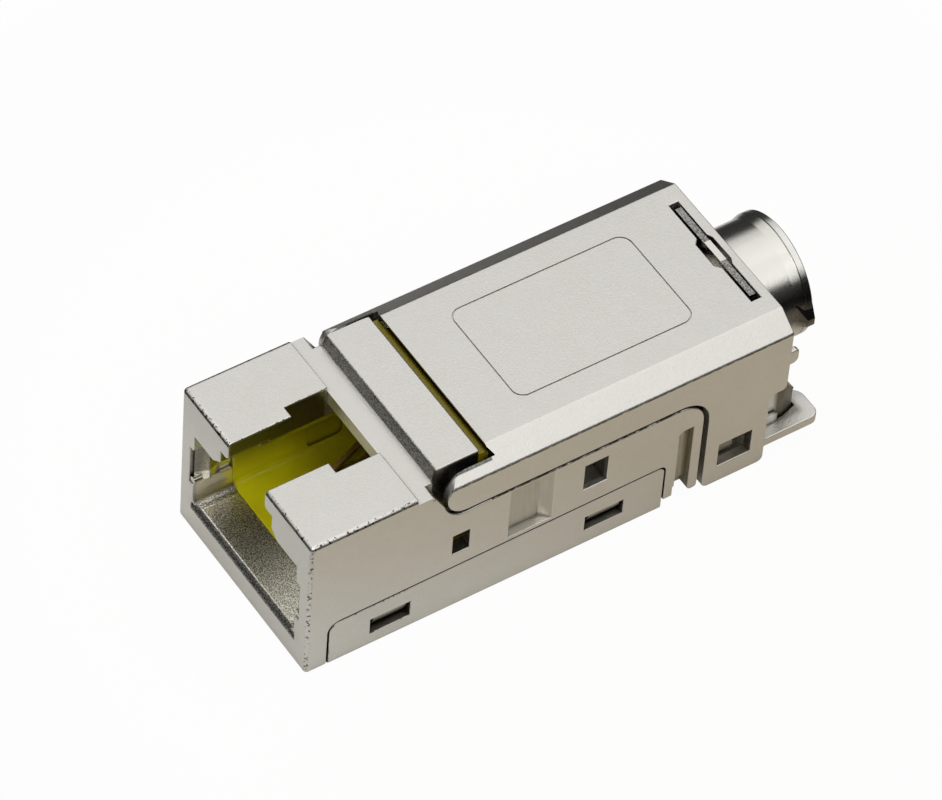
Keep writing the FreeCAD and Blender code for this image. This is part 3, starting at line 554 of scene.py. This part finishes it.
def mouldedPlastic(name, s):
    material, tree = newMaterial(name)
    place = addNode(tree, "ShaderNodeTexCoord").outputs["Object"]
    cloud = addNoise(tree, place, mouldSkin["cloudRate"], 3.0)
    skin = addNoise(tree, place, mouldSkin["skinRate"], 2.0)
    paintedShade = addGroup(tree, darkGroup, {"Reach": s["seamReach"], "Room": s["room"]})
    tone = addMix(tree, addRange(tree, cloud, 0.3, 0.7, 0.0, 1.0), s["colour"], s["colourLow"])
    tone = addTones(tree, placeParts(tree), s.get("regions", []), tone, skin)
    # painted shade in seams
    tone = addMix(tree, addMath(tree, "MULTIPLY", paintedShade["Near"], s["paintedShade"]), tone, s["paintedShadeColour"])
    bump = addBump(tree, mouldSkin["bump"], mouldSkin["bumpHeight"], skin)
    rough = addRange(tree, skin, 0.3, 0.7, s["rough"] - 0.04, s["rough"] + 0.05)
    shader = addNode(tree, "ShaderNodeBsdfPrincipled", {"Base Color": tone, "Roughness": rough,
                                                        "Normal": bump})
    if s.get("glow"):
        shader.inputs["Subsurface Weight"].default_value = s["glow"]
        shader.inputs["Subsurface Radius"].default_value = mouldSkin["glowRadius"]
        shader.inputs["Subsurface Scale"].default_value = mouldSkin["glowReach"]
    addNode(tree, "ShaderNodeOutputMaterial", {"Surface": shader.outputs[0]})
    return material


oliveCarrier = {
    "colour": (0.74, 0.70, 0.006), "colourLow": (0.66, 0.60, 0.005), "paintedShadeColour": (0.10, 0.06, 0.002),
    "paintedShade": 0.75, "seamReach": 0.5, "room": 3.0, "rough": 0.34, "glow": 0.5,
    "regions": [
        box(z=(6, 10), fade=2.6 * mm, colour=(0.13, 0.105, 0.002), share=0.92),  # painted shade, darker upwards
        box(z=(10, 13), colour=(0.20, 0.17, 0.003), share=0.9),  # painted shade on the strip between hinge block and lid
        # painted shade on a panel of the cavity's side walls
        box((5.94, 6.07), (8.2, 11), (2.7, 6.5), fade=0.02 * mm, colour=(0.06, 0.04, 0.001), share=0.95),
        box((6.2, 7.4), (10.2, 11.7), (5, 7), colour=(0.04, 0.03, 0.004), share=1.0),  # painted shade behind the window
        box(y=(9, 12.4), fade=3 * mm, colour=(0.16, 0.12, 0.002), share=0.6),  # painted shade, darker inwards
    ],
}
whiteManager = {
    "colour": (0.70, 0.69, 0.65), "colourLow": (0.64, 0.63, 0.59), "paintedShadeColour": (0.22, 0.21, 0.19),
    "paintedShade": 0.5, "seamReach": 0.8, "room": 3.0, "rough": 0.45,
}
blackBlock = {
    "colour": (0.022, 0.022, 0.024), "colourLow": (0.016, 0.016, 0.018), "paintedShadeColour": (0.005, 0.005, 0.005),
    "paintedShade": 0.5, "seamReach": 0.8, "room": 3.0, "rough": 0.42,
}
greenBoard = {
    "colour": (0.012, 0.13, 0.045), "colourLow": (0.008, 0.09, 0.03), "paintedShadeColour": (0.003, 0.02, 0.01),
    "paintedShade": 0.5, "seamReach": 0.5, "room": 3.0, "rough": 0.3,
    # painted shade on the top of the board
    "regions": [box(z=(10.5, 12), colour=(0.035, 0.024, 0.008), share=1.0)],
}


rolledSheet = {"stretch": (6000.0, 500.0, 6000.0), "lineDark": 0.86, "seamReach": 0.3, "room": 2.0,
               "recessShade": 0.75, "recessShadeDark": 0.25, "bump": 0.15, "bumpHeight": 0.005 * mm}


def springMetal(name, colour, rough, regions=()):
    s = rolledSheet
    material, tree = newMaterial(name)
    place = addNode(tree, "ShaderNodeTexCoord").outputs["Object"]
    rolled = addNode(tree, "ShaderNodeMapping", {"Vector": place, "Scale": s["stretch"]})
    lines = addNoise(tree, rolled.outputs[0], 1.0, 3.0)
    tone = addMix(tree, lines, colour, [c * s["lineDark"] for c in colour])
    tone = addTones(tree, placeParts(tree), regions, tone, lines)
    paintedShade = addGroup(tree, darkGroup, {"Reach": s["seamReach"], "Room": s["room"]})
    # painted shade in recesses
    recessShade = addMath(tree, "MULTIPLY", paintedShade["Deep"], s["recessShade"])
    tone = addMix(tree, recessShade, tone, [c * s["recessShadeDark"] for c in colour])
    spread = addRange(tree, lines, 0.3, 0.7, rough - 0.05, rough + 0.07)
    bump = addBump(tree, s["bump"], s["bumpHeight"], lines)
    shader = addNode(tree, "ShaderNodeBsdfPrincipled", {"Base Color": tone, "Roughness": spread,
                                                        "Normal": bump})
    shader.inputs["Metallic"].default_value = 1.0
    addNode(tree, "ShaderNodeOutputMaterial", {"Surface": shader.outputs[0]})
    return material


sheetShade = box(z=(5.1, 9), fade=0.1 * mm, colour=(0.20, 0.18, 0.14), share=0.85)
nickel = nickelCasting("nickelCasting", castNickel)
finishes = {
    "main_housing": nickel,
    "bottom_cover": nickel,
    "hinged_lid": nickel,
    "cable_collar": nickelCasting("turnedNickel", turnedNickel),
    "contact_carrier": mouldedPlastic("oliveCarrier", oliveCarrier),
    "wire_manager": mouldedPlastic("whiteManager", whiteManager),
    "terminal_block": mouldedPlastic("blackBlock", blackBlock),
    "circuit_board": mouldedPlastic("greenBoard", greenBoard),
    "contact_spring": springMetal("goldSpring", (0.83, 0.60, 0.24), 0.2),
    "ground_spring": springMetal("sheetSpring", (0.76, 0.74, 0.68), 0.22, [sheetShade]),
    "piercing_contact": springMetal("tinBlade", (0.74, 0.70, 0.60), 0.3),
    "shield_cross": springMetal("shieldSheet", (0.76, 0.76, 0.75), 0.3),
    "shield_ring": springMetal("ringSheet", (0.76, 0.74, 0.68), 0.22),
}


def finishOf(name):
    for key, material in finishes.items():
        if name == key or name.startswith(key + "_"):
            return material
    raise KeyError(name)


for name, node in nodes.items():
    node.data.materials.clear()
    node.data.materials.append(finishOf(name))
print("finishes given")


# Soft edges: a merged copy of each casting with a small real rounding along its outer edges
softEdges = {
    "main_housing": {"width": 0.08, "room": 0.30, "body": "housing", "slot": "cast_metal"},
    "bottom_cover": {"width": 0.06, "room": 0.30, "body": "housing", "slot": "cover_metal"},
    "hinged_lid": {"width": 0.08, "room": 0.30, "body": "lid", "slot": "lid_metal",
                   "flush": {"aside": 6.6 * mm, "z": (11.92 * mm, 11.94 * mm), "hair": 0.02 * mm}},
    "contact_carrier": {"width": 0.05, "room": 0.30, "body": "housing", "slot": "carrier_plastic"},
}
# limits of the rounding: angles in degrees, margins, foldReach and arcEdge in widths of the rounding
rounding = {
    "turns": 5,
    "mergeWithin": 0.0002 * mm,
    "flatAngle": 0.4,
    "cornerAngles": (30, 150),
    "segments": 3,
    "foldAngle": 150,
    "smallestFold": 1e-11,
    "foldReach": 1.5,
    "shadedSharp": 32,
    "longEdge": 4.0 * mm,
    "longMargin": 1.3,
    "shortMargin": 2.4,
    "testEvery": 0.3 * mm,
    "coplanar": 0.9999,
    "arcEdge": 1.7,
    "arcTurn": -0.85,
}


def awayFrom(point, start, end):
    line = end - start
    share = max(0.0, min(1.0, (point - start).dot(line) / line.length_squared))
    return (point - start - line * share).length


def roomBeside(edge, face):
    start, end = [vert.co for vert in edge.verts]
    line = (end - start).normalized()
    return max((vert.co - start - line * (vert.co - start).dot(line)).length for vert in face.verts)


def hasMargin(edge, width):
    # true when both faces beside the edge are wide enough for the rounding along all its length
    length = edge.calc_length()
    margin = width * rounding["longMargin" if length > rounding["longEdge"] else "shortMargin"]
    steps = max(1, int(length / rounding["testEvery"]))
    for loop in edge.link_loops:
        start = loop.vert.co
        line = loop.link_loop_next.vert.co - start
        inward = loop.face.normal.cross(line.normalized()) * margin
        flat = [loop.face] + [face for side in loop.face.edges for face in side.link_faces
                              if face is not loop.face
                              and face.normal.dot(loop.face.normal) > rounding["coplanar"]]
        for step in range(steps):
            along = (step + 0.5) / steps * length
            if steps > 1 and not margin < along < length - margin:
                continue
            point = start + line * along / length + inward
            if not any(bmesh.geometry.intersect_face_point(face, point) for face in flat):
                return False
    return True


def endsClear(edge, width):
    # true when no short edge of a small arc meets the edge at an end
    for vert in edge.verts:
        away = (edge.other_vert(vert).co - vert.co).normalized()
        for other in vert.link_edges:
            if other is edge or len(other.link_faces) != 2 or math.degrees(other.calc_face_angle()) < 1:
                continue
            onward = (other.other_vert(vert).co - vert.co).normalized()
            short = other.calc_length() < rounding["arcEdge"] * width
            if short and onward.dot(away) > rounding["arcTurn"]:
                return False
    return True


def takesRounding(edge, s):
    least, most = rounding["cornerAngles"]
    if len(edge.link_faces) != 2 or not edge.is_convex:
        return False
    if not least < math.degrees(edge.calc_face_angle()) < most:
        return False
    return (all(roomBeside(edge, face) > s["room"] * mm for face in edge.link_faces)
            and endsClear(edge, s["width"] * mm) and hasMargin(edge, s["width"] * mm))


def foldsOf(bm):
    test = bm.copy()
    bmesh.ops.triangulate(test, faces=test.faces)
    points = [(edge.verts[0].co + edge.verts[1].co) / 2 for edge in test.edges
              if len(edge.link_faces) == 2 and edge.calc_face_angle(0) > math.radians(rounding["foldAngle"])
              and min(face.calc_area() for face in edge.link_faces) > rounding["smallestFold"]]
    test.free()
    return points


def pressFlush(bm, s):
    # a corner that stands out of a slope by a hair goes down to the slope
    for edge in bm.edges:
        low, high = sorted((vert.co for vert in edge.verts), key=lambda place: place.z)
        if edge.calc_length() < s["hair"] and abs(low.x) > s["aside"] and s["z"][0] < low.z < s["z"][1]:
            high.z = low.z


def roundedMesh(name, s):
    # an edge beside which the rounding comes out folded is left sharp on the next turn
    width = s["width"] * mm
    leftSharp = []
    for turn in range(rounding["turns"]):
        bm = bmesh.new()
        bm.from_mesh(nodes[name].data)
        if "flush" in s:
            bmesh.ops.remove_doubles(bm, verts=bm.verts, dist=rounding["mergeWithin"])
            pressFlush(bm, s["flush"])
        bmesh.ops.remove_doubles(bm, verts=bm.verts, dist=rounding["mergeWithin"])
        bmesh.ops.dissolve_limit(bm, angle_limit=math.radians(rounding["flatAngle"]), verts=bm.verts,
                                 edges=bm.edges)
        reach = rounding["foldReach"] * width
        chosen = [edge for edge in bm.edges if takesRounding(edge, s)
                  and not any(awayFrom(point, edge.verts[0].co, edge.verts[1].co) < reach
                              for point in leftSharp)]
        bmesh.ops.bevel(bm, geom=chosen, offset=width, offset_type="OFFSET", segments=rounding["segments"],
                        profile=0.5, affect="EDGES", clamp_overlap=False, material=-1, loop_slide=True)
        bmesh.ops.connect_verts_concave(bm, faces=bm.faces)
        folds = foldsOf(bm)
        print(name, "turn", turn, "rounded edges", len(chosen), "faces", len(bm.faces), "folds", len(folds))
        if not folds:
            break
        leftSharp += folds
        if turn < rounding["turns"] - 1:
            bm.free()
    for edge in bm.edges:
        shallow = math.degrees(edge.calc_face_angle(0)) < rounding["shadedSharp"]
        edge.smooth = len(edge.link_faces) == 2 and shallow
    for face in bm.faces:
        face.smooth = True
    mesh = bpy.data.meshes.new(name + "_soft")
    bm.to_mesh(mesh)
    bm.free()
    return mesh


def addSoftPiece(name, s):
    mesh = roundedMesh(name, s)
    mesh.materials.append(finishOf(name))
    piece = bpy.data.objects.new(name + "_soft", mesh)
    bpy.context.scene.collection.objects.link(piece)
    piece.modifiers.new("shading", "WEIGHTED_NORMAL").keep_sharp = True
    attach(piece, s["body"])
    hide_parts(name)


for name, values in softEdges.items():
    addSoftPiece(name, values)
print("castings rounded")
